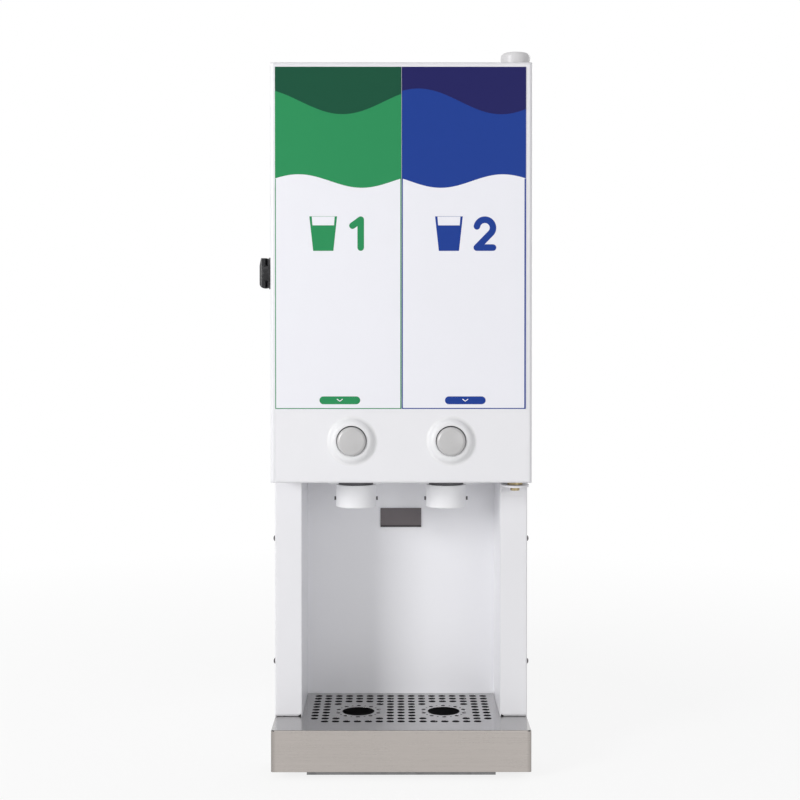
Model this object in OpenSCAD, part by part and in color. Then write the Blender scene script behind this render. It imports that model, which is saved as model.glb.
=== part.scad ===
// Counter-top twin milk dispenser. Millimetres, +Z up, front faces -Y.
// Modules are drawn with y measured back from the door's front plane, and
// place() then moves them so that the origin is the middle of the footprint.

/* [Cabinet] */
// Overall cabinet and door width
cab_w = 350; // [340:1:380]
// Depth from the door's front plane to the back of the side panels
cab_depth = 460; // [450:1:500]
// Sheet steel thickness
sheet = 1.5; // [1.2:0.1:1.8]
// Width of the posts beside the dispensing bay
post_w = 37.5; // [36:0.5:42]
// Height of the rubber feet
foot_h = 6; // [5:0.5:12]
// Chamber wall of the liner
liner_t = 2; // [1.5:0.1:2.5]

/* [Dispensing bay] */
// Height from the grille to the bay ceiling
bay_h = 326; // [300:1:340]
// Splash back's distance behind the front plane
bay_back = 197; // [190:1:205]
// Display window's centre below the bay ceiling
display_down = 66; // [55:1:120]
// Nozzle centres left and right of the middle
nozzle_x = 63; // [56:1:64]
// Nozzle axis behind the front plane
nozzle_y = 95; // [93:1:98]
// Outside diameter of the nozzle shrouds
nozzle_d = 56; // [50:1:58]
// How far the shrouds hang below the bay ceiling
nozzle_drop = 36.5; // [34:0.5:44]

/* [Door] */
// Door height
door_h = 561; // [540:1:600]
// Door thickness
door_t = 63; // [60:1:66]
// Gasket thickness
gasket_t = 8; // [7.5:0.5:10]
// Hinge axis in from the right edge
hinge_in = 20; // [19:0.5:21]
// Hinge pin diameter
pin_d = 10; // [8:0.5:12]
// Latch centre above the door's bottom edge
latch_up = 281; // [240:1:320]

/* [Push buttons] */
// Button centres left and right of the middle
button_x = 66.4; // [60:0.2:72]
// Button centres above the door's bottom edge
button_up = 56; // [50:1:60]
// Cap diameter
cap_d = 39; // [36:0.5:42]
// Bezel diameter
bezel_d = 68; // [62:0.5:72]
// Height of the bezel's crown in front of the door
bezel_h = 7.5; // [6.5:0.5:10]
// How far the cap's crown stands in front of the bezel
cap_out = 6; // [5.5:0.5:8]
// Rise of the cap's slightly domed face
cap_dome = 1.2; // [0.8:0.1:2]
// Radius of the cap's rounded edge
cap_edge = 5; // [3:0.5:6]
// Push travel
travel = 5; // [3:0.5:6]

/* [Drip tray] */
// Height of the steel fascia
tray_h = 56; // [50:1:62]
// Pitch of the perforations
hole_pitch = 15; // [14:0.5:15]
// Perforation diameter
hole_d = 10.4; // [8:0.2:11]
// Diameter of the two spout holes
spout_hole = 45; // [40:1:46]

/* [Cooling unit] */
// Compressor shell diameter
comp_d = 136; // [120:1:140]
// Height of the compressor shell between its domes
comp_h = 80; // [70:1:90]
// Height of the compressor's rubber mounts
mount_h = 16; // [12:1:20]
// Depth of the condenser's fin block
cond_d = 42; // [36:1:46]
// Height of the condenser
cond_h = 190; // [170:1:200]
// Fan diameter
fan_d = 110; // [100:1:116]
// Depth of the chamber's rear insulation
rear_foam = 57; // [45:1:60]
// Bend radius of the pipes' and coils' returns
coil_r = 15; // [14:0.5:15]

/* [Output] */
// Node to draw

/* [Hidden] */
$fn = 64;
e = 0.01;
run = 0.05;
gap = 0.3;
hw = cab_w / 2;
iw = hw - sheet;
y_front = door_t + gasket_t;
y_in = y_front + sheet;
y_rear = cab_depth - sheet;
y_pan = y_rear - sheet;
runner_h = 4.5;
z_base = foot_h;
z_floor = z_base + sheet;
z_fascia = z_base + runner_h;
z_tray = z_fascia + tray_h;
grille_t = 1.5;
post_gap = 1.6;
splash_low = 20;
door_up = 7;
fascia_t = 1.2;
fascia_r = 3;
pan_r = 8;
grille_r = 5;
z_ceil = z_tray + bay_h;
z_door = z_ceil + door_up;
z_dtop = z_door + door_h;
z_top = z_dtop + 1;
bay_w = hw - post_w;
foam_floor = 40;
z_cham = z_ceil + foam_floor;
z_chtop = z_top - 36;
cham_hw = bay_w - liner_t + 0.5;
cham_back = y_pan - rear_foam;
cham_r = 14;
pan_h = 8;
pan_hw = cham_hw - 18;
pan_t = 2.5;
room_y = (bay_back + sheet + y_pan) / 2;
hinge_x = hw - hinge_in;
hinge_y = door_t - 28;
pin_r = pin_d / 2;
bush_r = pin_r + 4;
hb_t = 3;
z_hb = z_door - 6;
collar_r = bush_r + 1.5;
cap_z = 18;
latch_y = door_t - 29;
latch_z = z_door + latch_up;
latch_base_t = 4;
latch_body = 13;
latch_out = latch_base_t + latch_body;
hook_ro = 46;
hook_ri = 42;
screw_head = 3.5;
side_y = y_front + 15;
side_z = [z_tray + 74, z_ceil - 80];
z_disp = z_ceil - display_down;
spig_r = nozzle_d / 2 - 3;
z_noz = z_ceil - nozzle_drop;
noz_fl = 4.5;
z_nscrew = z_noz + 11.5;
sleeve_r = 13;
tube_r = 6.5;
plunger_r = 6;
valve_z = z_cham + 26;
pinch = 1.8 * travel;
valve_y0 = nozzle_y - 16;
valve_y1 = nozzle_y + 24;
sol_y1 = valve_y1 + 60;
bz = z_door + button_up;
bore_r = cap_d / 2 + 1.3;
bezel_flat = 0.6;
cap_wall = cap_dome + cap_edge + 0.8;
cap_y = -bezel_h - cap_out;
spigot_r = bore_r + 1.5;
spigot_l = 30;
tray_hw = bay_w - 4;
lift_gap = 0.6;
tray_y1 = bay_back - 1;
run_hw = tray_hw - 6.5;
tray_z0 = z_fascia + gap;
gland_x = hw - 55;
gland_z = z_floor + 40;
gland_out = 14;
comp_r = comp_d / 2;
comp_px = comp_r + 12;
comp_py = comp_r - 8;
comp_x = iw - 15.5 - comp_px;
comp_y = room_y;
cond_x0 = -iw + coil_r + 9;
cond_x1 = -12 - coil_r;
cond_y0 = y_pan - 8 - cond_d;
cond_z1 = z_floor + cond_h;
fan_x = (cond_x0 + cond_x1) / 2;
fan_z = z_floor + cond_h / 2 + 10;
fan_r = fan_d / 2;
suct_x = comp_x - comp_r / 2 - 4;
suct_y = y_pan - 16;
pipe_z = z_floor + mount_h + comp_h + 80;
evap_z = z_cham + 190;
evap_hw = cham_hw - 20;
shelf_z = z_cham + 62;
fx = (latch_out - screw_head) / 2;
fy = -(cab_depth + gland_out + cap_y) / 2;

module place() { translate([fx, fy, 0]) children(); }
module bx(x0, x1, y0, y1, z0, z1) {
  translate([x0, y0, z0]) cube([x1 - x0, y1 - y0, z1 - z0]);
}
module cx(x0, x1, y, z, r) { translate([x0, y, z]) rotate([0, 90, 0]) cylinder(h = x1 - x0, r = r); }
module cy(x, y0, y1, z, r) { translate([x, y0, z]) rotate([-90, 0, 0]) cylinder(h = y1 - y0, r = r); }
module cz(x, y, z0, z1, r) { translate([x, y, z0]) cylinder(h = z1 - z0, r = r); }
module both() { for (s = [-1, 1]) scale_x(s) children(); }
module scale_x(s) { if (s > 0) children(); else mirror([1, 0, 0]) children(); }
// Plate outline with four round corners
module round_rect(x0, x1, y0, y1, r) {
  translate([x0 + r, y0]) square([x1 - x0 - 2 * r, y1 - y0]);
  translate([x0, y0 + r]) square([x1 - x0, y1 - y0 - 2 * r]);
  for (x = [x0 + r, x1 - r], y = [y0 + r, y1 - r]) translate([x, y]) circle(r = r);
}
// Same outline in x and z, drawn from y0 back to y1
module round_box(x0, x1, z0, z1, r, y0, y1) {
  translate([0, y1, 0]) rotate([90, 0, 0]) linear_extrude(y1 - y0) round_rect(x0, x1, z0, z1, r);
}
// Half-round return that joins two level tubes, opening towards -x
module u_bend(x, y, z, r, tube) {
  translate([x, y, z]) rotate([90, 0, 0]) intersection() {
    rotate_extrude() translate([r, 0]) circle(r = tube);
    translate([0, -r - 2 * tube, -2 * tube]) cube([r + 2 * tube, 2 * r + 4 * tube, 4 * tube]);
  }
}
// Revolved profile about the line along +Y through x and z
module turn_y(x, y, z) { translate([x, y, z]) rotate([-90, 0, 0]) rotate_extrude() children(); }

// Cabinet

module base_chassis() {
  color("silver") place() difference() {
    union() {
      bx(-hw, hw, y_front, cab_depth, z_base, z_floor);
      bx(-run_hw, run_hw, 3, bay_back + 6, z_base, z_fascia);
      both() bx(iw - sheet, iw, y_in + 30, y_pan - 2, z_base, z_floor + 25);
    }
    bx(-run_hw + sheet, run_hw - sheet, 3 + sheet, y_front + 20, z_base - 1, z_fascia - sheet);
    for (a = [-2.5 : 2.5]) bx(comp_x + a * 16 - 4, comp_x + a * 16 + 4, comp_y - 35, comp_y + 35, z_base - 1,
      z_floor + 1);
  }
}

module rubber_feet() {
  color("black") place() for (s = [-1, 1], y = [y_front + 45, cab_depth - 50])
    translate([s * (hw - 40), y, 0]) difference() {
      union() {
        cylinder(h = foot_h - 3, r1 = 15, r2 = 17);
        translate([0, 0, foot_h - 3]) cylinder(h = 3, r = 17);
      }
      translate([0, 0, -1]) cylinder(h = foot_h - 1, r = 5);
    }
}

module side_panel() {
  difference() {
    union() {
      bx(iw, hw, y_in, cab_depth, z_floor, z_top);
      bx(bay_w, iw, y_front, y_in, z_tray + post_gap, z_top);
      translate([0, 0, z_tray + post_gap]) linear_extrude(z_top - z_tray - post_gap) intersection() {
        translate([iw, y_in]) circle(r = sheet);
        translate([iw - e, y_front]) square([sheet + e, sheet + e]);
      }
      bx(hw - 18, hw, y_rear, cab_depth, z_floor, z_top);
    }
    translate([bay_w, y_front, z_tray + post_gap]) difference() {
      translate([-1, -1, -1]) cube([6, sheet + 2, 6]);
      translate([5, -2, 5]) rotate([-90, 0, 0]) cylinder(h = sheet + 4, r = 5);
    }
    for (z = side_z) cx(iw - 1, hw + 1, side_y, z, 2.5);
  }
}

module left_side_panel() {
  color("white") place() difference() {
    mirror([1, 0, 0]) side_panel();
    bx(-hw + 3, -hw + 11, y_front - 1, y_in + 1, latch_z - 18, latch_z + 40);
  }
}
module right_side_panel() { color("white") place() side_panel(); }

module top_panel() {
  color("white") place() union() {
    bx(-iw, iw, y_in, y_rear, z_top - sheet, z_top);
    bx(-bay_w, bay_w, y_front, y_in + e, z_top - sheet, z_top);
    both() bx(iw - sheet, iw, y_in + 20, y_pan - 20, z_top - 12, z_top - sheet + e);
  }
}

module rear_panel() {
  color("white") place() difference() {
    bx(-iw, iw, y_pan, y_rear, z_ceil, z_top - sheet);
    for (x = [-iw + 10, iw - 10], z = [z_ceil + 30, z_top - 40]) cy(x, y_pan - 1, y_rear + 1, z, 2);
  }
}

module rear_grille() {
  color("white") place() difference() {
    bx(-iw, iw, y_pan, y_rear, z_floor, z_ceil);
    for (r = [0 : 10]) {
      bx(fan_x - fan_r - 6, fan_x + fan_r + 6, y_pan - 1, y_rear + 1, z_floor + 40 + r * 13,
        z_floor + 45 + r * 13);
      bx(comp_x - 50, comp_x + 50, y_pan - 1, y_rear + 1, z_floor + 170 + r * 13, z_floor + 175 + r * 13);
    }
    cy(gland_x, y_pan - 1, y_rear + 1, gland_z, 8 + run);
  }
}

module bay_ceiling() {
  color("white") place() difference() {
    bx(-iw, iw, y_in, y_pan, z_ceil, z_ceil + sheet);
    both() cz(nozzle_x, nozzle_y, z_ceil - 1, z_ceil + sheet + 1, sleeve_r + run);
    cz(suct_x, suct_y, z_ceil - 1, z_ceil + sheet + 1, 4.3);
  }
}

module splash_back() {
  color("white") place() difference() {
    union() {
      bx(-bay_w - sheet, bay_w + sheet, bay_back, bay_back + sheet, z_tray - splash_low, z_ceil);
      both() bx(bay_w, bay_w + sheet, y_in, bay_back + sheet, z_tray - splash_low, z_ceil);
      both() bx(bay_w, iw, y_in, y_in + sheet, z_tray + post_gap + 6, z_ceil);
      both() bx(iw - sheet, iw, y_in, y_in + 28, z_tray + post_gap + 6, z_ceil);
    }
    bx(-28, 28, bay_back - 1, bay_back + sheet + 1, z_disp - 12, z_disp + 12);
    for (z = side_z) both() cx(iw - sheet - 1, iw + 1, side_y, z, 2.5);
  }
}

module chamber_form(t, y0, y1) {
  round_box(-cham_hw - t, cham_hw + t, z_cham - t, z_chtop + t, cham_r + t, y0, y1);
}

module chamber_liner() {
  color("white") place() difference() {
    union() {
      chamber_form(liner_t, y_in, cham_back + liner_t);
      bx(-cham_hw - liner_t, cham_hw + liner_t, y_in, y_in + liner_t, z_cham - liner_t, z_chtop + liner_t);
    }
    chamber_form(0, y_in - 1, cham_back);
    both() cz(nozzle_x, nozzle_y, z_cham - liner_t - 1, z_cham + 1, sleeve_r + run);
    cy(suct_x, cham_back - 1, cham_back + liner_t + 1, evap_z, 4.3);
  }
}

module cabinet_foam() {
  color("khaki") place() difference() {
    bx(-iw, iw, y_in, y_pan, z_ceil + sheet, z_top - sheet);
    chamber_form(liner_t, y_in - 1, cham_back + liner_t);
    bx(-cham_hw - liner_t, cham_hw + liner_t, y_in - 1, y_in + liner_t, z_cham - liner_t, z_chtop + liner_t);
    both() cz(nozzle_x, nozzle_y, z_ceil, z_cham, sleeve_r + run);
    both() bx(iw - sheet, iw + 1, y_in + 20, y_pan - 20, z_top - 12, z_top);
    cz(suct_x, suct_y, z_ceil, evap_z, 4.3);
    translate([suct_x, suct_y, evap_z]) sphere(r = 4.3);
    cy(suct_x, cham_back, suct_y, evap_z, 4.3);
    bx(-hw + 3, -hw + 11, y_in - 1, y_in + 18, latch_z - 26, latch_z + 42);
  }
}

module front_rails() {
  color("white") place() union() {
    bx(-bay_w, bay_w, y_front, y_in, z_ceil, z_cham - liner_t / 2);
    bx(-bay_w, bay_w, y_front, y_in, z_chtop + liner_t / 2, z_top - sheet);
  }
}

module evaporator_plate() {
  evap_n = floor((z_chtop - z_cham - 225) / (2 * coil_r)) + 1;
  y0 = cham_back - 10;
  color("lightgray") place() difference() {
    union() {
      bx(-evap_hw, evap_hw, y0, y0 + 2, z_cham + 120, z_chtop - 50);
      for (i = [0 : evap_n - 1]) {
        z = z_cham + 150 + 2 * coil_r * i;
        cx(-evap_hw + coil_r + 8, evap_hw - coil_r - 8, y0 + 1, z, 3);
        if (i < evap_n - 1) scale_x(i % 2 == 0 ? 1 : -1)
          bx(evap_hw - coil_r - 12, evap_hw - coil_r - 4, y0 - 2.5, y0 + 1, z - 4, z + 2 * coil_r + 4);
      }
      for (x = [-evap_hw + 11, evap_hw - 11], z = [z_cham + 130, z_chtop - 60]) cy(x, y0 + 1, cham_back, z, 5);
      cy(suct_x, y0 + 1, cham_back - 4, evap_z, 6.5);
    }
    cy(suct_x, y0 + 2.5, cham_back, evap_z, 4 + run);
  }
}

module pack_shelf() {
  leg_x = cham_hw - cham_r - 1;
  color("lightgray") place() difference() {
    union() {
      bx(-cham_hw + 1, cham_hw - 1, y_in + 5, cham_back - 14, shelf_z, shelf_z + sheet);
      both() bx(leg_x - sheet, leg_x, y_in + 5, cham_back - 14, z_cham, shelf_z + e);
      bx(-cham_hw + 1, cham_hw - 1, cham_back - 14 - sheet, cham_back - 14, shelf_z, shelf_z + 16);
    }
    both() bx(nozzle_x - 16, nozzle_x + 16, y_in, nozzle_y + 8, shelf_z - 1, shelf_z + sheet + 1);
    both() cz(nozzle_x, nozzle_y + 8, shelf_z - 1, shelf_z + sheet + 1, 16);
    for (x = [-90 : 30 : 90], y = [cham_back - 180 : 40 : cham_back - 60])
      cz(x, y, shelf_z - 1, shelf_z + sheet + 1, 8);
  }
}

// Pinch valves and nozzles

module valve_block(x) {
  translate([x, 0, 0]) difference() {
    union() {
      bx(-22, 22, valve_y0, valve_y1, z_cham, z_cham + 46);
      bx(-30, 30, valve_y0 + 8, valve_y1 - 8, z_cham, z_cham + 6);
    }
    cz(0, nozzle_y, z_cham - 1, z_cham + 47, tube_r);
    cz(0, nozzle_y, z_cham + 40, z_cham + 47, tube_r + 3);
    cy(0, nozzle_y, valve_y1 + 1, valve_z, plunger_r + run);
  }
}
module valve_blocks() { color("whitesmoke") place() for (s = [-1, 1]) valve_block(s * nozzle_x); }

module pinch_solenoids() {
  color("dimgray") place() for (s = [-1, 1]) translate([s * nozzle_x, 0, 0]) difference() {
    union() {
      bx(-20, 20, valve_y1, valve_y1 + 3, valve_z - 20, valve_z + 20);
      bx(-20, 20, sol_y1 - 3, sol_y1, z_cham, valve_z + 20);
      bx(-20, 20, valve_y1, sol_y1, z_cham, z_cham + 3);
      bx(-20, 20, valve_y1, valve_y1 + 3, z_cham, valve_z);
      cy(0, valve_y1, sol_y1, valve_z, 17);
    }
    cy(0, valve_y1 - 1, sol_y1 - 2, valve_z, plunger_r + run);
  }
}

module plunger(x) {
  translate([x, 0, 0]) difference() {
    cy(0, nozzle_y - 3.5, sol_y1 - 2 - pinch - 1, valve_z, plunger_r);
    bx(-10, 10, nozzle_y - 4, nozzle_y + 2, valve_z + 3, valve_z + 10);
    bx(-10, 10, nozzle_y - 4, nozzle_y + 2, valve_z - 10, valve_z - 3);
    both() bx(4.6, 10, nozzle_y - 4, nozzle_y + 2, valve_z - 4, valve_z + 4);
  }
}
module left_pinch_plunger() { color("gainsboro") place() plunger(-nozzle_x); }
module right_pinch_plunger() { color("gainsboro") place() plunger(nozzle_x); }

module nozzle_flange(x) {
  z1 = z_ceil - noz_fl;
  translate([x, nozzle_y, 0]) difference() {
    union() {
      translate([0, 0, z1]) cylinder(h = noz_fl, r = spig_r);
      for (s = [-1, 1]) {
        bx(min(0, s * 29), max(0, s * 29), -9, 9, z1, z_ceil);
        cz(s * 29, 0, z1, z_ceil, 9);
      }
      cz(0, 0, z_noz + 8, z1 + e, spig_r);
      cz(0, 0, z_ceil - e, z_cham, sleeve_r);
    }
    cz(0, 0, z_noz, z1 - 3, spig_r - 3);
    cz(0, 0, z1 - 4, z_cham + 1, sleeve_r - 3);
    for (s = [-1, 1]) cx(min(s * (spig_r - 4), s * (spig_r + 1)), max(s * (spig_r - 4), s * (spig_r + 1)),
      0, z_nscrew, 1.5 + run);
  }
}
module nozzle_flanges() { color("white") place() for (s = [-1, 1]) nozzle_flange(s * nozzle_x); }

module shroud(x) {
  r = nozzle_d / 2;
  translate([x, nozzle_y, 0]) difference() {
    union() {
      translate([0, 0, z_noz + 2]) cylinder(h = z_ceil - noz_fl - 0.5 - z_noz - 2, r = r);
      translate([0, 0, z_noz + 2]) rotate_extrude() translate([r - 2, 0]) circle(r = 2);
      translate([0, 0, z_noz]) cylinder(h = 3, r = r - 2);
    }
    cz(0, 0, z_noz + 7, z_ceil, spig_r + run);
    cz(0, 0, z_noz - 1, z_noz + 8, spig_r - 1.5);
    cx(-r - 1, r + 1, 0, z_nscrew, 1.5 + run);
  }
}
module left_nozzle_shroud() { color("white") place() shroud(-nozzle_x); }
module right_nozzle_shroud() { color("white") place() shroud(nozzle_x); }

module nozzle_screws() {
  r = nozzle_d / 2;
  color("dimgray") place() for (n = [-1, 1], s = [-1, 1])
    translate([n * nozzle_x, nozzle_y, z_nscrew]) scale_x(s) {
      cx(spig_r - 2.5, r + e, 0, 0, 1.5);
      difference() {
        cx(r, r + 2.4, 0, 0, 2.6);
        bx(r + 1.4, r + 3, -0.5, 0.5, -4, 4);
      }
    }
}

// Display

module display_window() {
  z = z_disp;
  color("dimgray") place() bx(-30, 30, bay_back - 2, bay_back, z - 14, z + 14);
}
module display_housing() {
  z = z_disp;
  color("black") place() union() {
    bx(-27.5, 27.5, bay_back, bay_back + 26, z - 11.5, z + 11.5);
    both() bx(27.5, 33, bay_back + sheet, bay_back + 8, z - 6, z + 6);
  }
}

// Cooling unit

module compressor() {
  z0 = z_floor + mount_h;
  color("black") place() translate([comp_x, comp_y, 0]) union() {
    translate([0, 0, z0 + 40]) cylinder(h = comp_h, r = comp_r);
    translate([0, 0, z0 + 40]) intersection() {
      sphere(r = comp_r);
      translate([-100, -100, -36]) cube([200, 200, 36 + e]);
    }
    translate([0, 0, z0 + 40 + comp_h]) intersection() {
      sphere(r = comp_r);
      translate([-100, -100, -e]) cube([200, 200, 40]);
    }
    translate([0, 0, z0 + comp_h + 5]) cylinder(h = 6, r = comp_r + 3);
    difference() {
      translate([0, 0, z0]) linear_extrude(6) round_rect(-comp_px, comp_px, -comp_py, comp_py, 10);
      for (x = [12 - comp_px, comp_px - 12], y = [12 - comp_py, comp_py - 12])
        translate([x, y, z0 - 1]) cylinder(h = 8, r = 5 + gap);
    }
    translate([comp_r - 8, -24, z0 + 40]) cube([18, 48, 44]);
  }
}

module compressor_mounts() {
  z0 = z_floor + mount_h;
  color("black") place() for (x = [12 - comp_px, comp_px - 12], y = [12 - comp_py, comp_py - 12])
    translate([comp_x + x, comp_y + y, 0]) {
    cz(0, 0, z_floor, z0, 11);
    cz(0, 0, z0 - e, z0 + 6 + e, 5);
    cz(0, 0, z0 + 6, z0 + 10, 8);
  }
}

module condenser() {
  cond_n = floor((cond_h - 40) / (2 * coil_r)) + 1;
  color("silver") place() union() {
    for (i = [0 : 12]) {
      w = i % 12 == 0 ? 1.6 : 0.8;
      x = cond_x0 + (cond_x1 - cond_x0 - 1.6) * i / 12;
      bx(x, x + w, cond_y0, y_pan - 8, i % 12 == 0 ? z_floor : z_floor + 14, cond_z1);
    }
    for (i = [0 : cond_n - 1], y = [cond_y0 + 11, y_pan - 19]) {
      z = z_floor + 30 + 2 * coil_r * i;
      cx(cond_x0 - 1, cond_x1 + 1, y, z, 4);
      if (i < cond_n - 1) translate([i % 2 == 0 ? cond_x1 + 1 - e : cond_x0 - 1 + e, y, z + coil_r])
        scale_x(i % 2 == 0 ? 1 : -1) u_bend(0, 0, 0, coil_r, 4);
    }
  }
}

module fan_shroud() {
  color("dimgray") place() difference() {
    union() {
      bx(cond_x0, cond_x1, cond_y0 - 3, cond_y0, z_floor, cond_z1);
      cy(fan_x, cond_y0 - 12, cond_y0, fan_z, fan_r + 6);
    }
    cy(fan_x, cond_y0 - 13, cond_y0 + 1, fan_z, fan_r + 3);
  }
}

module fan_motor() {
  y1 = cond_y0 - 24;
  color("dimgray") place() difference() {
    union() {
      cy(fan_x, y1 - 34, y1, fan_z, 24);
      cy(fan_x, y1 - e, y1 + 4, fan_z, 9);
      bx(fan_x - 14, fan_x + 14, y1 - 30, y1 - 26, z_floor, fan_z);
      bx(fan_x - 14, fan_x + 14, y1 - 30, y1 - 4, z_floor, z_floor + 3);
    }
    cy(fan_x, y1 - 20, y1 + 5, fan_z, 3 + run);
  }
}

module fan_rotor() {
  y1 = cond_y0 - 19;
  color("black") place() union() {
    cy(fan_x, y1 - 23, y1 + 2, fan_z, 3);
    difference() {
      cy(fan_x, y1, y1 + 16, fan_z, 16);
      cy(fan_x, y1 + 12, y1 + 17, fan_z, 12);
    }
    intersection() {
      union() for (a = [0 : 72 : 288]) translate([fan_x, y1 + 8, fan_z]) rotate([0, a, 0])
        rotate([0, 0, 28]) translate([-1, -13, 12]) cube([2, 26, fan_r]);
      difference() {
        cy(fan_x, y1 + 0.5, y1 + 15.5, fan_z, fan_r);
        cy(fan_x, y1 - 1, y1 + 17, fan_z, 15);
      }
    }
  }
}

module control_box() {
  color("whitesmoke") place() union() {
    bx(-iw, -iw + 42, room_y - 59, room_y + 59, z_ceil - 152, z_ceil - 60);
    bx(-iw, -iw + 6, room_y - 69, room_y + 69, z_ceil - 122, z_ceil - 90);
    for (i = [-1.5 : 1.5]) cx(-iw + 41, -iw + 50, room_y + i * 26, z_ceil - 132, 5);
  }
}

module cable_gland() {
  color("black") place() difference() {
    union() {
      cy(gland_x, y_pan - 12, y_rear + 4, gland_z, 8);
      translate([gland_x, y_rear, gland_z]) rotate([-90, 0, 0]) cylinder(h = 5, r = 13, $fn = 6);
      translate([gland_x, y_pan - 5, gland_z]) rotate([-90, 0, 0]) cylinder(h = 5, r = 12.5, $fn = 6);
      translate([gland_x, y_rear + 5, gland_z]) rotate([-90, 0, 0])
        cylinder(h = gland_out + sheet - 5, r1 = 10.5, r2 = 8);
    }
    cy(gland_x, y_pan - 20, cab_depth + gland_out + 1, gland_z, 4.5);
  }
}

module suction_pipe() {
  z1 = pipe_z + 49;
  r = 4;
  union() {
    cz(suct_x, comp_y, pipe_z, z1, r);
    translate([suct_x, comp_y, z1]) sphere(r = r);
    cy(suct_x, comp_y, suct_y, z1, r);
    translate([suct_x, suct_y, z1]) sphere(r = r);
    cz(suct_x, suct_y, z1, evap_z, r);
    translate([suct_x, suct_y, evap_z]) sphere(r = r);
    cy(suct_x, cham_back - 7.5, suct_y, evap_z, r);
  }
}

module discharge_pipe() {
  z1 = pipe_z + 32;
  r = 3;
  x0 = comp_x + comp_r / 2;
  y1 = y_pan - 36;
  union() {
    cz(x0, comp_y, pipe_z, z1, r);
    translate([x0, comp_y, z1]) sphere(r = r);
    cy(x0, comp_y, y1, z1, r);
    translate([x0, y1, z1]) sphere(r = r);
    cx(cond_x1 - 0.8, x0, y1, z1, r);
    translate([cond_x1 - 0.8, y1, z1]) sphere(r = r);
    cz(cond_x1 - 0.8, y1, cond_z1, z1, r);
  }
}

module refrigerant_pipes() {
  color("peru") place() {
    suction_pipe();
    discharge_pipe();
  }
}

module side_screws() {
  rs = (4.9 * 4.9 + screw_head * screw_head) / (2 * screw_head);
  color("silver") place() for (s = [-1, 1], z = side_z) translate([0, side_y, z]) scale_x(s) {
    cx(iw - 12, hw + e, 0, 0, 2.45);
    difference() {
      translate([hw, 0, 0]) rotate([0, 90, 0]) rotate_extrude() intersection() {
        translate([0, screw_head - rs]) circle(r = rs);
        square([6, 6]);
      }
      translate([hw + 1.4, 0, 0]) rotate([0, 90, 0]) cylinder(h = 4, r = 1.8, $fn = 6);
    }
  }
}

// Hinge

module lower_hinge_bracket() {
  r = 17;
  color("white") place() difference() {
    union() {
      bx(hinge_x - 19, hinge_x + 19, hinge_y, y_front, z_hb - hb_t, z_hb);
      cz(hinge_x, hinge_y, z_hb - hb_t, z_hb, 19);
      bx(max(hinge_x - 19, bay_w), hinge_x + 19, y_front - 3, y_front, z_hb - 20, z_hb);
      translate([hinge_x - 19, y_front - 1, z_hb - hb_t]) rotate([90, 0, 90])
        linear_extrude(3) polygon([[0, 0.5], [0, -12], [-3, -12], [-30, 0.5]]);
    }
    cz(hinge_x, hinge_y, z_hb - hb_t - 1, z_hb + 1, pin_r + run);
  }
}

module upper_hinge_bracket() {
  color("silver") place() difference() {
    union() {
      bx(hinge_x - 16, hinge_x + 16, hinge_y, y_front + 60, z_top, z_top + hb_t);
      cz(hinge_x, hinge_y, z_top, z_top + hb_t, 16);
      for (y = [30, 48]) translate([hinge_x, y_front + y - 6, z_top + hb_t - e]) cylinder(h = 2.2, r = 5);
    }
    cz(hinge_x, hinge_y, z_top - 1, z_top + hb_t + 1, pin_r + run);
  }
}

module hinge_pins() {
  color("goldenrod") place() translate([hinge_x, hinge_y, 0]) {
    cz(0, 0, z_hb - hb_t - e, z_door + 24, pin_r);
    cz(0, 0, z_hb - hb_t - 5, z_hb - hb_t, pin_r + 1.3);
    cz(0, 0, z_dtop - 24, z_top + hb_t + e, pin_r);
    cz(0, 0, z_top + hb_t, z_top + hb_t + 3.5, pin_r + 3);
  }
}

module hinge_bushes() {
  color("goldenrod") place() translate([hinge_x, hinge_y, 0]) difference() {
    union() {
      cz(0, 0, z_hb + gap, z_door, collar_r);
      cz(0, 0, z_door - e, z_door + 28, bush_r);
      cz(0, 0, z_dtop - 28, z_dtop, bush_r);
    }
    cz(0, 0, z_hb, z_door + 29, pin_r + run);
    cz(0, 0, z_dtop - 29, z_dtop + 1, pin_r + run);
  }
}

module hinge_cap() {
  z0 = z_dtop + 0.7;
  z1 = z_dtop + cap_z;
  color("whitesmoke") place() translate([hinge_x, hinge_y, 0]) difference() {
    union() {
      cz(0, 0, z0, z1 - 6, 20);
      cz(0, 0, z0, z1, 14);
      translate([0, 0, z1 - 6]) rotate_extrude() translate([14, 0]) circle(r = 6);
    }
    cz(0, 0, z0 - 1, z_top + hb_t, 16 + gap);
    bx(-16 - gap, 16 + gap, 0, 30, z0 - 1, z_top + hb_t);
    cz(0, 0, z0, z_top + hb_t + 4, pin_r + 3.5);
  }
}

// Latch

module latch_base() {
  color("black") place() difference() {
    union() {
      cx(-hw - latch_base_t, -hw, latch_y, latch_z, 21.5);
      cx(-hw - e, -hw + sheet + 2, latch_y, latch_z, 7);
    }
    cx(-hw - 10, -hw + 10, latch_y, latch_z, 5 + run);
  }
}

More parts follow.
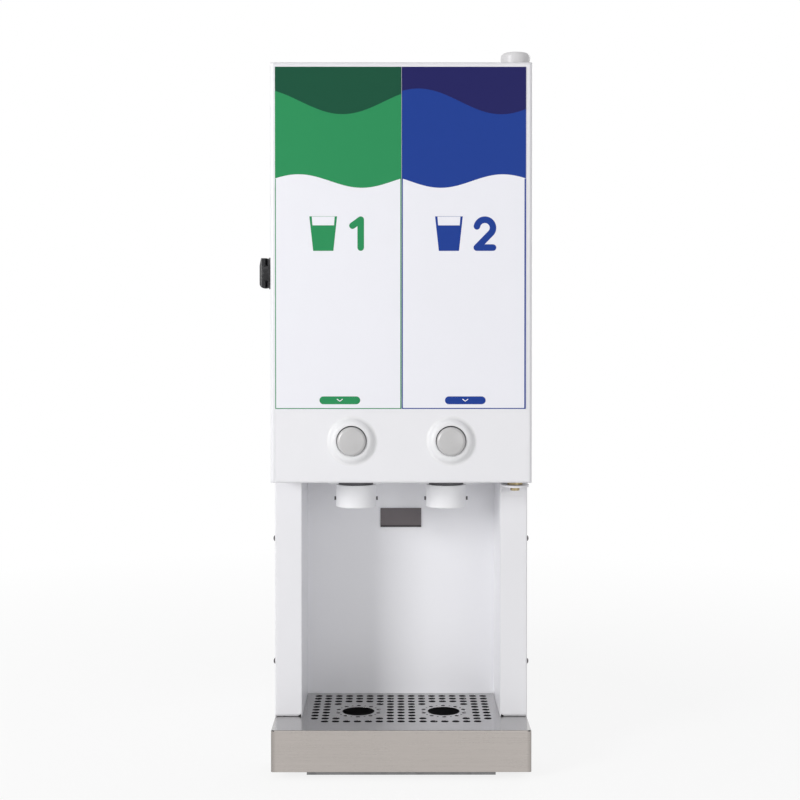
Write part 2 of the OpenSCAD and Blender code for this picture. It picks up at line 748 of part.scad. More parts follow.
module latch_knob() {
  x1 = -hw - latch_base_t - gap;
  x0 = -hw - latch_out;
  xg = x1 - 2.4;
  color("black") place() translate([0, latch_y, latch_z]) union() {
    cx(x0 + 4, -hw + 12, 0, 0, 5);
    cx(-hw + 9, -hw + 12, 0, 0, 8);
    cx(x0 + 5, x1, 0, 0, 12);
    bx(xg - e, x1, -3.5, 3.5, -20, 20);
    intersection() {
      translate([0, 8, 0]) rotate([90, 0, 0]) linear_extrude(16) union() {
        polygon([[x0, -13], [x0 + 8, -13], [x0 + 8, -20.5], [xg, -20.5], [xg, 20.5], [x0 + 2.4, 20.5], [x0, 10]]);
        translate([x0 + 7.5, -13]) circle(r = 7.5);
      }
      translate([0, 0, -22]) linear_extrude(44) round_rect(x0, xg, -7, 7, 4);
    }
  }
}

// Hook that swings out through the door's back and behind the keeper
module latch_hook() {
  x0 = -hw + 5;
  color("silver") place() translate([0, latch_y, latch_z]) difference() {
    union() {
      cx(x0, x0 + 4, 0, 0, 10);
      intersection() {
        difference() {
          cx(x0, x0 + 4, 0, 0, hook_ro);
          cx(x0 - 1, x0 + 5, 0, 0, hook_ri);
        }
        translate([x0 - 1, 0, 0]) rotate([90, 0, 90]) linear_extrude(6) polygon([
          [0, 0], [80 * cos(72), 80 * sin(72)], [80 * cos(100), 80 * sin(100)],
          [80 * cos(134), 80 * sin(134)]]);
      }
      translate([x0, 0, 0]) rotate([90, 0, 90]) linear_extrude(4) polygon([
        [9 * cos(60), 9 * sin(60)], [43.5 * cos(120), 43.5 * sin(120)],
        [43.5 * cos(134), 43.5 * sin(134)], [9 * cos(190), 9 * sin(190)]]);
    }
    cx(x0 - 1, x0 + 5, 0, 0, 5 + run);
  }
}

module latch_keeper() {
  color("silver") place() difference() {
    bx(-hw + 1, -hw + 13, y_front - 2, y_front, latch_z - 22, latch_z + 46);
    bx(-hw + 4, -hw + 10, y_front - 3, y_front + 1, latch_z + 12, latch_z + 37);
    for (z = [-15, 41.5]) cy(-hw + 7, y_front - 3, y_front + 1, latch_z + z, 1.8);
  }
}

// Door

module door_skin() {
  r = 5;
  yb = door_t - 3;
  color("white") place() difference() {
    union() {
      bx(-hw, hw, r, yb, z_door, z_dtop);
      bx(-hw + r, hw - r, 0, yb, z_door, z_dtop);
      both() cz(hw - r, r, z_door, z_dtop, r);
    }
    bx(-iw, iw, r, yb + 1, z_door + sheet, z_dtop - sheet);
    bx(-hw + r, hw - r, sheet, yb + 1, z_door + sheet, z_dtop - sheet);
    both() cy(button_x, -1, sheet + 1, bz, spigot_r + 0.2);
    cz(hinge_x, hinge_y, z_door - 1, z_door + 5, bush_r + run);
    cz(hinge_x, hinge_y, z_dtop - 5, z_dtop + 1, bush_r + run);
    cx(-hw - 1, -iw + 1, latch_y, latch_z, 7 + run);
  }
}

// Raised pan of the door's liner, drawn in by t all round
module door_pan(t, y0, y1) {
  round_box(-pan_hw + t, pan_hw - t, z_door + 118 + t, z_dtop - 54 - t, 24 - t, y0, y1);
}

module door_liner() {
  y0 = door_t - 3;
  color("white") place() difference() {
    union() {
      bx(-hw, hw, y0, door_t, z_door, z_dtop);
      door_pan(0, y0, door_t + pan_h);
    }
    door_pan(pan_t, y0 - 1, door_t + pan_h - pan_t);
    bx(-hw + 4, -hw + 10, y0 - 1, door_t + 1, latch_z + 2, latch_z + 44);
  }
}

module door_foam() {
  yb = door_t - 3;
  color("khaki") place() difference() {
    union() {
      bx(-iw, iw, 5, yb, z_door + sheet, z_dtop - sheet);
      door_pan(pan_t, yb - e, door_t + pan_h - pan_t);
    }
    both() cy(button_x, 0, 56, bz, 31);
    cz(hinge_x, hinge_y, z_door, z_door + 29, bush_r + run);
    cz(hinge_x, hinge_y, z_dtop - 29, z_dtop, bush_r + run);
    bx(-iw - 1, -hw + 14, 0, yb + 1, latch_z - 24, latch_z + 52);
  }
}

module door_gasket() {
  xo = hinge_x - 3;
  w = 12;
  color("gray") place() difference() {
    bx(-xo, xo, door_t, y_front - gap, z_door + 8, z_dtop - 8);
    bx(-xo + w, xo - w, door_t - 1, y_front + 1, z_door + 8 + w, z_dtop - 8 - w);
    for (s = [-1, 1]) bx(s * (xo - w / 2) - 1.5, s * (xo - w / 2) + 1.5, door_t + 4, y_front + 1, z_door + 14,
      z_dtop - 14);
  }
}

module graphic(x0, x1) { bx(x0, x1, -0.8, 0, z_door + 99, z_dtop - 6); }
module left_graphic_panel() { color("seagreen") place() graphic(-hw + 6.7, 0.2); }
module right_graphic_panel() { color("royalblue") place() graphic(0.8, hw - 8.6); }

// Push buttons

// Low ring whose face swells up and then sweeps out flat to the door
module bezel(x) {
  r = bezel_d / 2;
  h = bezel_h;
  x0 = bore_r + bezel_flat;
  turn = 2 * atan(h / (r - x0));
  sum = (r - x0) / sin(turn);
  rc = 0.6 * sum;
  rf = sum - rc;
  xm = x0 + rc * sin(turn);
  ym = rf * (1 - cos(turn));
  turn_y(x, 0, bz) union() {
    translate([bore_r, -h]) square([bezel_flat + e, h]);
    translate([x0, -ym]) square([xm - x0 + e, ym]);
    intersection() {
      translate([x0, -h + rc]) circle(r = rc);
      translate([x0, -h]) square([xm - x0, h - ym + e]);
    }
    difference() {
      translate([xm, -ym]) square([r - xm, ym]);
      translate([r, -rf]) circle(r = rf);
    }
    translate([bore_r, -e]) square([spigot_r - bore_r, spigot_l + e]);
  }
}
module left_button_bezel() { color("white") place() bezel(-button_x); }
module right_button_bezel() { color("white") place() bezel(button_x); }

module button_cap(x) {
  r = cap_d / 2;
  rf = r - cap_edge;
  rs = (rf * rf + cap_dome * cap_dome) / (2 * cap_dome);
  y0 = cap_y + cap_dome;
  turn_y(x, 0, bz) union() {
    intersection() {
      translate([0, cap_y + rs]) circle(r = rs, $fn = 240);
      translate([0, cap_y]) square([rf, cap_dome + e]);
    }
    difference() {
      union() {
        translate([0, y0]) square([rf, 12 - y0]);
        translate([0, y0 + cap_edge]) square([r, 12 - y0 - cap_edge]);
        translate([rf, y0 + cap_edge]) circle(r = cap_edge);
      }
      translate([4, cap_y + cap_wall]) square([r - 2.5 - 4, 40]);
    }
    translate([0, cap_y + cap_wall - 1]) square([4, spigot_l + 4 - cap_y - cap_wall + 1]);
  }
}
module left_button_cap() { color("lightgray") place() button_cap(-button_x); }
module right_button_cap() { color("lightgray") place() button_cap(button_x); }

module button_spring(x) {
  y0 = cap_y + cap_wall;
  h = spigot_l - y0;
  translate([x, y0, bz]) rotate([-90, 0, 0]) union() {
    linear_extrude(height = h, twist = -360 * 6, slices = 132, $fn = 8) translate([8.5, 0]) circle(r = 1.1);
    difference() {
      cylinder(h = 1.2, r = 9.6);
      translate([0, 0, -1]) cylinder(h = 4, r = 7.4);
    }
    translate([0, 0, h - 1.2]) difference() {
      cylinder(h = 1.2, r = 9.6);
      translate([0, 0, -1]) cylinder(h = 4, r = 7.4);
    }
  }
}
module left_button_spring() { color("silver") place() button_spring(-button_x); }
module right_button_spring() { color("silver") place() button_spring(button_x); }

module button_nuts() {
  color("gray") place() for (s = [-1, 1]) translate([s * button_x, sheet, bz]) rotate([-90, 0, 0])
    difference() {
      union() {
        cylinder(h = 2, r = 29);
        cylinder(h = 8, r = 28, $fn = 8);
      }
      translate([0, 0, -1]) cylinder(h = 12, r = spigot_r + run);
    }
}

module button_switches() {
  y0 = spigot_l;
  color("dimgray") place() for (s = [-1, 1]) translate([s * button_x, 0, bz]) difference() {
    union() {
      cy(0, y0, y0 + 3, 0, spigot_r);
      for (t = [-1, 1]) bx(t * 11 - 1.5, t * 11 + 1.5, y0 + 3 - e, y0 + 22, -6, 6);
      bx(-10, 10, y0 + 12, y0 + 22, -5, 5);
      cy(0, y0 + 4 + travel + gap, y0 + 13, 0, 1.5);
    }
    cy(0, y0 - 1, y0 + 3.5, 0, 4 + gap);
  }
}

// Drip tray

module drip_tray() {
  t = fascia_t;
  color("silver") place() difference() {
    translate([0, 0, tray_z0]) linear_extrude(z_tray - grille_t - tray_z0)
      round_rect(-tray_hw, tray_hw, t, tray_y1, pan_r);
    translate([0, 0, tray_z0 + t]) linear_extrude(z_tray - tray_z0)
      round_rect(-tray_hw + t, tray_hw - t, 2 * t, tray_y1 - t, pan_r - t);
  }
}

// Open-backed outline whose two front corners are bent round
module fascia_outline(t, r, y1) {
  translate([-hw + t, t + r]) square([cab_w - 2 * t, y1 - t - r]);
  translate([-hw + t + r, t]) square([cab_w - 2 * t - 2 * r, y1 - t]);
  for (s = [-1, 1]) translate([s * (hw - t - r), t + r]) circle(r = r);
}

module tray_fascia() {
  t = fascia_t;
  r = fascia_r;
  y1 = y_front - 1;
  color("silver") place() difference() {
    union() {
      translate([0, 0, z_fascia]) linear_extrude(z_tray - 0.3 - z_fascia) difference() {
        fascia_outline(0, r, y1);
        fascia_outline(t, r - t, y1 + 1);
      }
      translate([0, 0, z_fascia]) linear_extrude(t) difference() {
        fascia_outline(0, r, y1);
        translate([-hw + 10, t + 10]) square([cab_w - 20, y1]);
        translate([-tray_hw, t]) square([2 * tray_hw, y1]);
      }
    }
    both() bx(hw - r - 2, hw + 1, -1, y1 + 1, z_tray - grille_t, z_tray + 1);
  }
}

module drip_grille() {
  t = grille_t;
  p = hole_pitch;
  yb = bay_back - 17;
  ys = yb - 5.5 * p;
  xs = 4 * p;
  cols = floor((tray_hw - 10) / p);
  color("silver") place() difference() {
    translate([0, 0, z_tray - t]) linear_extrude(t) {
      round_rect(-hw + 0.4, hw - 0.4, 1.7, y_front - 1, grille_r);
      translate([-bay_w + lift_gap, y_front - 10]) square([2 * (bay_w - lift_gap), tray_y1 - y_front + 10]);
    }
    for (i = [-cols : cols], j = [0 : 9])
      if (norm([abs(i * p) - xs, yb - j * p - ys]) > 2.9 * p && !(j == 9 && abs(i) == cols))
        cz(i * p, yb - j * p, z_tray - t - 1, z_tray + 1, hole_d / 2);
    both() cz(xs, ys, z_tray - t - 1, z_tray + 1, spout_hole / 2);
    for (k = [0 : 9]) both() {
      translate([xs, ys, 0]) rotate(90 + 36 * k) cz(1.97 * p, 0, z_tray - t - 1, z_tray + 1, 3);
      translate([xs, ys, 0]) rotate(108 + 36 * k) cz(1.97 * p, 0, z_tray - t - 1, z_tray + 1, 1.4);
    }
  }
}

base_chassis();
rubber_feet();
left_side_panel();
right_side_panel();
top_panel();
rear_panel();
rear_grille();
bay_ceiling();
splash_back();
chamber_liner();
cabinet_foam();
front_rails();
evaporator_plate();
pack_shelf();
valve_blocks();
pinch_solenoids();
left_pinch_plunger();
right_pinch_plunger();
nozzle_flanges();
left_nozzle_shroud();
right_nozzle_shroud();
nozzle_screws();
display_housing();
display_window();
compressor();
compressor_mounts();
condenser();
fan_shroud();
fan_motor();
fan_rotor();
control_box();
cable_gland();
refrigerant_pipes();
side_screws();
lower_hinge_bracket();
upper_hinge_bracket();
hinge_pins();
hinge_cap();
latch_keeper();
door_skin();
door_liner();
door_foam();
door_gasket();
left_graphic_panel();
right_graphic_panel();
left_button_bezel();
right_button_bezel();
left_button_cap();
right_button_cap();
left_button_spring();
right_button_spring();
button_nuts();
button_switches();
hinge_bushes();
latch_base();
latch_knob();
latch_hook();
drip_tray();
tray_fascia();
drip_grille();
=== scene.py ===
import math

import bmesh
import bpy
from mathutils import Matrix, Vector


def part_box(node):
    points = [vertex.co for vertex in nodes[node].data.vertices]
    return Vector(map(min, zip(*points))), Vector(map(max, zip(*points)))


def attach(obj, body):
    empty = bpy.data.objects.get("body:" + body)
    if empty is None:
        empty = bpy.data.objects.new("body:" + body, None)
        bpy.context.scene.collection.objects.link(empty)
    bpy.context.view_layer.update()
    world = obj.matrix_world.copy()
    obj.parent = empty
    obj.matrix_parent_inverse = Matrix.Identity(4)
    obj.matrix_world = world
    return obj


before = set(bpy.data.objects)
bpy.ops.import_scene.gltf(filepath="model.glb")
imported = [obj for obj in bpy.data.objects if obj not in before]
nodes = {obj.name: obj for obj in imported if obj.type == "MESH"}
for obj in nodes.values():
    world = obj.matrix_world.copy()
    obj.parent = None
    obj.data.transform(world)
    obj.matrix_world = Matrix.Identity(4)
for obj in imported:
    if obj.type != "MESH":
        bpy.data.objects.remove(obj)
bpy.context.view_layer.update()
sides = ("left", "right")
print("frame loaded:", len(nodes), "nodes")


# shader tools

class Wire:
    # one output of a shader node; sums on it add Math nodes
    def __init__(self, tree, socket):
        self.tree = tree
        self.socket = socket

    def work(self, operation, first, second):
        return addNode(self.tree, "ShaderNodeMath", {"operation": operation}, {0: first, 1: second})

    def __add__(self, other):
        return self.work("ADD", self, other)

    def __radd__(self, other):
        return self.work("ADD", other, self)

    def __sub__(self, other):
        return self.work("SUBTRACT", self, other)

    def __rsub__(self, other):
        return self.work("SUBTRACT", other, self)

    def __mul__(self, other):
        return self.work("MULTIPLY", self, other)

    def __rmul__(self, other):
        return self.work("MULTIPLY", other, self)

    def __gt__(self, other):
        return self.work("GREATER_THAN", self, other)

    def __lt__(self, other):
        return self.work("LESS_THAN", self, other)


def addNode(tree, kind, settings=None, sockets=None, out=0):
    item = tree.nodes.new(kind)
    for key, value in (settings or {}).items():
        setattr(item, key, value)
    for key, value in (sockets or {}).items():
        if isinstance(value, Wire):
            tree.links.new(value.socket, item.inputs[key])
        else:
            item.inputs[key].default_value = value
    return Wire(tree, item.outputs[out]) if item.outputs else None


def clamped(tree, operation, first, second):
    return addNode(tree, "ShaderNodeMath", {"operation": operation, "use_clamp": True}, {0: first, 1: second})


def along(tree, place, axis):
    return addNode(tree, "ShaderNodeSeparateXYZ", None, {"Vector": place}, "xyz".index(axis))


def stretch(tree, place, scale):
    return addNode(tree, "ShaderNodeMapping", None, {"Vector": place, "Scale": scale})


def grain(tree, place, scale, detail=3.0, rough=0.55):
    return addNode(tree, "ShaderNodeTexNoise", None,
                   {"Vector": place, "Scale": scale, "Detail": detail, "Roughness": rough})


def sway(wire, by):
    # swings a grain evenly to both sides of nothing
    return (wire - 0.5) * by


def shade(colour, amount):
    return tuple(min(1.0, part * amount) for part in colour)


def mixColour(tree, share, first, second):
    return addNode(tree, "ShaderNodeMix", {"data_type": "RGBA"},
                   {0: share, 6: (*first, 1) if isinstance(first, tuple) else first,
                    7: (*second, 1) if isinstance(second, tuple) else second}, 2)


def twoTone(tree, share, colour, low, high):
    return mixColour(tree, share, shade(colour, low), shade(colour, high))


def startFinish(name):
    finish = bpy.data.materials.new(name)
    finish.use_nodes = True
    tree = finish.node_tree
    tree.nodes.clear()
    place = addNode(tree, "ShaderNodeTexCoord", out="Object")
    return finish, tree, place


# what a look has where it says nothing else
plainLook = {"edge": 0.0006, "edgeSamples": 6, "relief": 0.2, "depth": 0.0002, "metal": 0.0, "ior": 1.45,
             "coat": 0.0, "coatRough": 0.1, "aniso": 0.0}


def closeFinish(finish, tree, ownLook, colour, roughness, height=None):
    # rounded edges first, then the fine relief
    look = {**plainLook, **ownLook}
    turned = {}
    if look["edge"] > 0:
        turned["Normal"] = addNode(tree, "ShaderNodeBevel", {"samples": look["edgeSamples"]},
                                   {"Radius": look["edge"]})
    if height is not None:
        turned["Normal"] = addNode(tree, "ShaderNodeBump", None,
                                   {"Strength": look["relief"], "Distance": look["depth"],
                                    "Height": height, **turned})
    body = addNode(tree, "ShaderNodeBsdfPrincipled", None,
                   {"Base Color": colour, "Roughness": roughness, **turned,
                    "Metallic": look["metal"], "IOR": look["ior"],
                    "Coat Weight": look["coat"], "Coat Roughness": look["coatRough"],
                    "Anisotropic": look["aniso"]})
    addNode(tree, "ShaderNodeOutputMaterial", None, {"Surface": body})
    return finish


# painted sheet

def powderCoat(name, look):
    finish, tree, place = startFinish(name)
    cloud = grain(tree, place, scale=5, detail=2)
    peel = grain(tree, place, scale=look["peel"], detail=2, rough=0.5)
    speck = grain(tree, place, scale=look["peel"] * 3.1, detail=1, rough=0.4)
    colour = twoTone(tree, cloud, look["colour"], low=0.985, high=1.012)
    rough = look["rough"] + sway(peel, by=0.12) + sway(cloud, by=0.06)
    return closeFinish(finish, tree, look, colour, rough, peel + speck * 0.35)


whiteLook = {"colour": (0.815, 0.812, 0.838), "rough": 0.36, "peel": 620.0, "relief": 0.10, "depth": 0.0002,
             "edge": 0.0009, "coat": 0.15, "coatRough": 0.25}
white = powderCoat("whitePowderCoat", whiteLook)
postWhite = powderCoat("foldedPowderCoat", {**whiteLook, "edge": 0.003})
doorWhite = powderCoat("doorPowderCoat", {**whiteLook, "edge": 0.005})
# painted light: the bay's ceiling and splash back get a lighter copy of the same white powder coat,
# brightening the bay where little light reaches
bayPaintedLight = powderCoat("bayPowderCoatPaintedLight", {**whiteLook, "colour": (0.90, 0.90, 0.928), "rough": 0.32})


# moulded plastics

def mouldedPlastic(name, look):
    finish, tree, place = startFinish(name)
    cloud = grain(tree, place, scale=14)
    spark = grain(tree, place, scale=look["grain"], detail=2, rough=0.6)
    colour = twoTone(tree, cloud, look["colour"], low=0.97, high=1.02)
    if "neckShadeWall" in look:      # painted shade: the flange is darkened inside each nozzle shroud's bore, for the shadow gap above the shroud
        for side in sides:
            low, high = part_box(side + "_nozzle_shroud")
            radius = (high.x - low.x) / 2 - look["neckShadeWall"]
            x = along(tree, place, "x") - (low.x + high.x) / 2
            y = along(tree, place, "y") - (low.y + high.y) / 2
            colour = mixColour(tree, x * x + y * y < radius ** 2, colour, look["neckShadeColour"])
    if "shadeBack" in look:     # painted shade: the cap's side behind its rounded edge is darkened, for the shade in the gap round the cap
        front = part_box("left_button_cap")[0].y
        behind = along(tree, place, "y") > front + look["shadeBack"]
        colour = mixColour(tree, behind, colour, look["gapShadeColour"])
    rough = look["rough"] + sway(spark, by=0.16) + sway(cloud, by=0.06)
    return closeFinish(finish, tree, look, colour, rough, spark)


partLook = {"colour": (0.88, 0.88, 0.90), "rough": 0.34, "grain": 1300.0, "relief": 0.06, "depth": 0.0001}
whitePart = mouldedPlastic("whiteMouldedPart", partLook)

# painted shade: the flange's colour inside the shroud bores is darkened for the shadow gap over each shroud
flangeLook = {**partLook, "neckShadeWall": 0.0024, "neckShadeColour": (0.105, 0.102, 0.112)}
flangeShadedPart = mouldedPlastic("flangePaintedShade", flangeLook)

hingeLook = {**partLook, "colour": (0.68, 0.672, 0.682), "edge": 0.001}
hingePart = mouldedPlastic("hingeCapPlastic", hingeLook)

bezelLook = {"colour": (0.80, 0.80, 0.815), "rough": 0.38, "grain": 1300.0, "relief": 0.04, "depth": 0.0001,
             "edge": 0.0}
bezelPart = mouldedPlastic("bezelPlastic", bezelLook)

linerLook = {"colour": (0.80, 0.815, 0.83), "rough": 0.42, "grain": 700.0, "relief": 0.12, "depth": 0.0002,
             "edge": 0.0012}
liner = mouldedPlastic("formedLiner", linerLook)

# painted shade: the cap's side in the gap round it is coloured near black
capLook = {"colour": (0.525, 0.519, 0.521), "rough": 0.34, "grain": 1500.0, "relief": 0.05, "depth": 0.0001,
           "metal": 0.15, "shadeBack": 0.0049, "gapShadeColour": (0.012, 0.012, 0.013)}
capGrey = mouldedPlastic("buttonGrey", capLook)

latchLook = {"colour": (0.012, 0.012, 0.014), "rough": 0.26, "grain": 900.0, "relief": 0.10, "depth": 0.00012,
             "edge": 0.0016}
latchBlack = mouldedPlastic("latchPlastic", latchLook)

darkLook = {"colour": (0.022, 0.022, 0.026), "rough": 0.36, "grain": 900.0, "relief": 0.14, "depth": 0.00015,
            "edge": 0.0008}
dark = mouldedPlastic("blackMouldedPart", darkLook)

greyLook = {"colour": (0.30, 0.30, 0.31), "rough": 0.5, "grain": 900.0, "relief": 0.14, "depth": 0.00015}
grey = mouldedPlastic("greyMouldedPart", greyLook)
print("paints and plastics made")


# brushed and rolled sheet

def brushedMetal(name, look):
    finish, tree, place = startFinish(name)

    def brushed(fine, drawn, detail, rough):
        # grain drawn out along the brush
        scale = [look["fine"] * fine] * 3
        scale["xyz".index(look["run"])] *= drawn
        return grain(tree, stretch(tree, place, tuple(scale)), scale=1, detail=detail, rough=rough)

    streak = brushed(fine=1, drawn=0.012, detail=4, rough=0.7)
    scratch = brushed(fine=0.45, drawn=0.05, detail=2, rough=0.5)
    band = brushed(fine=0.11, drawn=0.006, detail=3, rough=0.6)
    cloud = grain(tree, place, scale=7)
    smear = grain(tree, place, scale=26, detail=4, rough=0.65)
    tone = streak * 0.45 + band * 0.35 + cloud * 0.2
    colour = twoTone(tree, tone, look["colour"], low=0.84, high=1.14)
    if "shadedEnds" in look:      # painted shade: the bent ends darken over a few millimetres, standing in for shade at the folds
        low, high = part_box("tray_fascia")
        reach = (high.x - low.x) / 2 - look["shadedEnds"]
        across = along(tree, place, "x") - (low.x + high.x) / 2
        off = addNode(tree, "ShaderNodeMath", {"operation": "ABSOLUTE"}, {0: across})
        endShadeShare = clamped(tree, "MULTIPLY", off - reach, 1 / look["shadedEnds"])
        colour = mixColour(tree, endShadeShare, colour, shade(look["colour"], look["endShade"]))
    if "wallShadeBand" in look:          # painted shade: the punched walls between the sheet's two faces are darkened, for the shade inside the holes
        low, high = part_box("drip_grille")
        under, over = look["wallShadeBand"]
        up = along(tree, place, "z")
        inside = (up > low.z + under) * (up < high.z - over)
        colour = mixColour(tree, inside, colour, shade(look["colour"], look["wallShade"]))
    rough = look["rough"] + sway(streak, by=0.2) + sway(band, by=0.14) + sway(smear, by=0.12)
    return closeFinish(finish, tree, look, colour, rough, streak + scratch * 0.6)


# painted shade: the fascia's ends are coloured darker for the shade at its folds
fasciaLook = {"colour": (0.485, 0.448, 0.422), "rough": 0.30, "run": "x", "fine": 3200.0, "metal": 1.0,
              "relief": 0.05, "depth": 0.00008, "aniso": 0.4, "edge": 0.0012, "shadedEnds": 0.0065,
              "endShade": 0.66}
fasciaSteel = brushedMetal("brushedFascia", fasciaLook)

trayLook = {"colour": (0.455, 0.449, 0.450), "rough": 0.19, "run": "x", "fine": 3000.0, "metal": 1.0,
            "relief": 0.04, "depth": 0.00008, "aniso": 0.3, "edge": 0.0003}
traySteel = brushedMetal("polishedTray", trayLook)
# painted shade: the grille's hole walls are coloured dark
grilleSteel = brushedMetal("punchedGrille", {**trayLook, "wallShadeBand": (0.0002, 0.0003), "wallShade": 0.22})

# painted shade: the pan's stainless is coloured much darker than the tray's, for the shade under the grille
panLook = {"colour": (0.11, 0.11, 0.114), "rough": 0.48, "run": "y", "fine": 2600.0, "metal": 1.0,
           "relief": 0.05, "depth": 0.0001}
panShadedSteel = brushedMetal("panPaintedShade", panLook)

plateLook = {"colour": (0.62, 0.63, 0.64), "rough": 0.36, "run": "z", "fine": 2200.0, "metal": 1.0,
             "relief": 0.05, "depth": 0.0001}
coldPlate = brushedMetal("rolledAluminium", plateLook)


# galvanised sheet

def spangledZinc(name, look):
    finish, tree, place = startFinish(name)
    flake = addNode(tree, "ShaderNodeTexVoronoi", None, {"Vector": place, "Scale": look["flake"]}, "Color")
    tone = addNode(tree, "ShaderNodeSeparateColor", None, {"Color": flake})
    dust = grain(tree, place, scale=60, detail=4)
    colour = twoTone(tree, tone * 0.75 + dust * 0.25, look["colour"], low=0.8, high=1.15)
    rough = look["rough"] + sway(tone, by=0.25)
    return closeFinish(finish, tree, look, colour, rough, tone * 0.3 + dust * 0.2)


zincLook = {"colour": (0.36, 0.37, 0.375), "rough": 0.44, "flake": 95.0, "metal": 1.0, "relief": 0.05,
            "depth": 0.0001}
zinc = spangledZinc("galvanisedSheet", zincLook)
# painted shade: a darker copy of the galvanised sheet, for the shade on the chassis lip under the fascia
chassisShadedZinc = spangledZinc("chassisSheetPaintedShade", {**zincLook, "colour": (0.20, 0.20, 0.203), "rough": 0.5})


# turned and drawn metal

turnedScale = (300, 300, 2600)      # the tool's lines lie close together along z


def turnedMetal(name, look):
    finish, tree, place = startFinish(name)
    tarnish = grain(tree, place, scale=45, detail=5, rough=0.6)
    line = grain(tree, stretch(tree, place, turnedScale), scale=1, detail=2)
    colour = mixColour(tree, tarnish, look["colour"], look["stain"])
    return closeFinish(finish, tree, look, colour, look["rough"] + sway(tarnish, by=0.3), line)


screwLook = {"colour": (0.50, 0.50, 0.49), "stain": (0.30, 0.29, 0.27), "rough": 0.32, "metal": 1.0,
             "relief": 0.05, "depth": 0.00005, "edge": 0.0003}
screwSteel = turnedMetal("zincScrew", screwLook)

dullScrewLook = {**screwLook, "colour": (0.17, 0.162, 0.17), "stain": (0.08, 0.076, 0.08)}
dullScrew = turnedMetal("dullScrew", dullScrewLook)

brassLook = {"colour": (0.50, 0.41, 0.24), "stain": (0.17, 0.13, 0.07), "rough": 0.32, "metal": 1.0,
             "relief": 0.08, "depth": 0.00006, "edge": 0.0004}
brass = turnedMetal("turnedBrass", brassLook)

copperLook = {"colour": (0.70, 0.33, 0.19), "stain": (0.34, 0.17, 0.10), "rough": 0.34, "metal": 1.0,
              "relief": 0.05, "depth": 0.00005}
copper = turnedMetal("drawnCopper", copperLook)
print("metals made")


# enamel, rubber and foam

def enamel(name, look):
    finish, tree, place = startFinish(name)
    run = grain(tree, place, scale=30)
    peel = grain(tree, place, scale=260, detail=2)
    dust = grain(tree, place, scale=9, detail=5, rough=0.7)
    colour = twoTone(tree, dust, look["colour"], low=1, high=1.6)
    return closeFinish(finish, tree, look, colour, look["rough"] + sway(dust, by=0.25), peel + run * 0.4)


blackLook = {"colour": (0.016, 0.016, 0.018), "rough": 0.3, "relief": 0.15, "depth": 0.0003, "coat": 0.3}
blackEnamel = enamel("blackEnamel", blackLook)


def softRubber(name, look):
    finish, tree, place = startFinish(name)
    bloom = grain(tree, place, scale=40, detail=5, rough=0.65)
    pit = grain(tree, place, scale=900, detail=2)
    colour = twoTone(tree, bloom, look["colour"], low=1, high=1.5)
    return closeFinish(finish, tree, look, colour, look["rough"] + sway(bloom, by=0.15), pit)


rubberLook = {"colour": (0.022, 0.022, 0.022), "rough": 0.72, "relief": 0.3, "depth": 0.0002}
rubber = softRubber("blackRubber", rubberLook)

sealLook = {"colour": (0.36, 0.37, 0.39), "rough": 0.62, "relief": 0.2, "depth": 0.0002, "edge": 0.0012}
seal = softRubber("greyGasket", sealLook)


def cutFoam(name, look):
    finish, tree, place = startFinish(name)
    cell = addNode(tree, "ShaderNodeTexVoronoi", None, {"Vector": place, "Scale": look["cell"]}, "Distance")
    cloud = grain(tree, place, scale=22, detail=4)
    colour = twoTone(tree, cell * 0.8 + cloud * 0.4, look["colour"], low=0.72, high=1)
    return closeFinish(finish, tree, look, colour, look["rough"] + cloud * 0.05, cell)


foamLook = {"colour": (0.80, 0.68, 0.40), "rough": 0.85, "cell": 420.0, "relief": 0.8, "depth": 0.0008}
foam = cutFoam("insulationFoam", foamLook)


# printed film and the display's pane

def printedFilm(name, look):
    finish, tree, place = startFinish(name)
    dot = grain(tree, place, scale=2400, detail=1)
    cloud = grain(tree, place, scale=3, detail=2)
    wave = grain(tree, place, scale=18, detail=2)
    colour = twoTone(tree, dot * 0.4 + cloud * 0.6, look["colour"], low=0.95, high=1.04)
    rough = look["rough"] + sway(wave, by=0.08) + sway(dot, by=0.04)
    return closeFinish(finish, tree, look, colour, rough, wave)


filmLook = {"colour": (0.85, 0.85, 0.90), "rough": 0.24, "relief": 0.01, "depth": 0.0002, "edge": 0.0002}
film = printedFilm("whiteFilm", filmLook)


def smokedPane(name, look):
    finish, tree, place = startFinish(name)
    haze = grain(tree, place, scale=60, detail=4)
    tint = twoTone(tree, haze, look["colour"], low=0.92, high=1.1)
    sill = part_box("display_window")[0].z + look["sillHigh"]     # the pane is darker below it
    colour = mixColour(tree, along(tree, place, "z") < sill, tint, shade(look["colour"], look["sillShade"]))
    return closeFinish(finish, tree, look, colour, look["rough"] + haze * 0.08)


paneLook = {"colour": (0.128, 0.112, 0.118), "rough": 0.16, "sillHigh": 0.0031, "sillShade": 0.35,
            "edge": 0.0004}
pane = smokedPane("displayPane", paneLook)
print("finishes made:", len(bpy.data.materials))

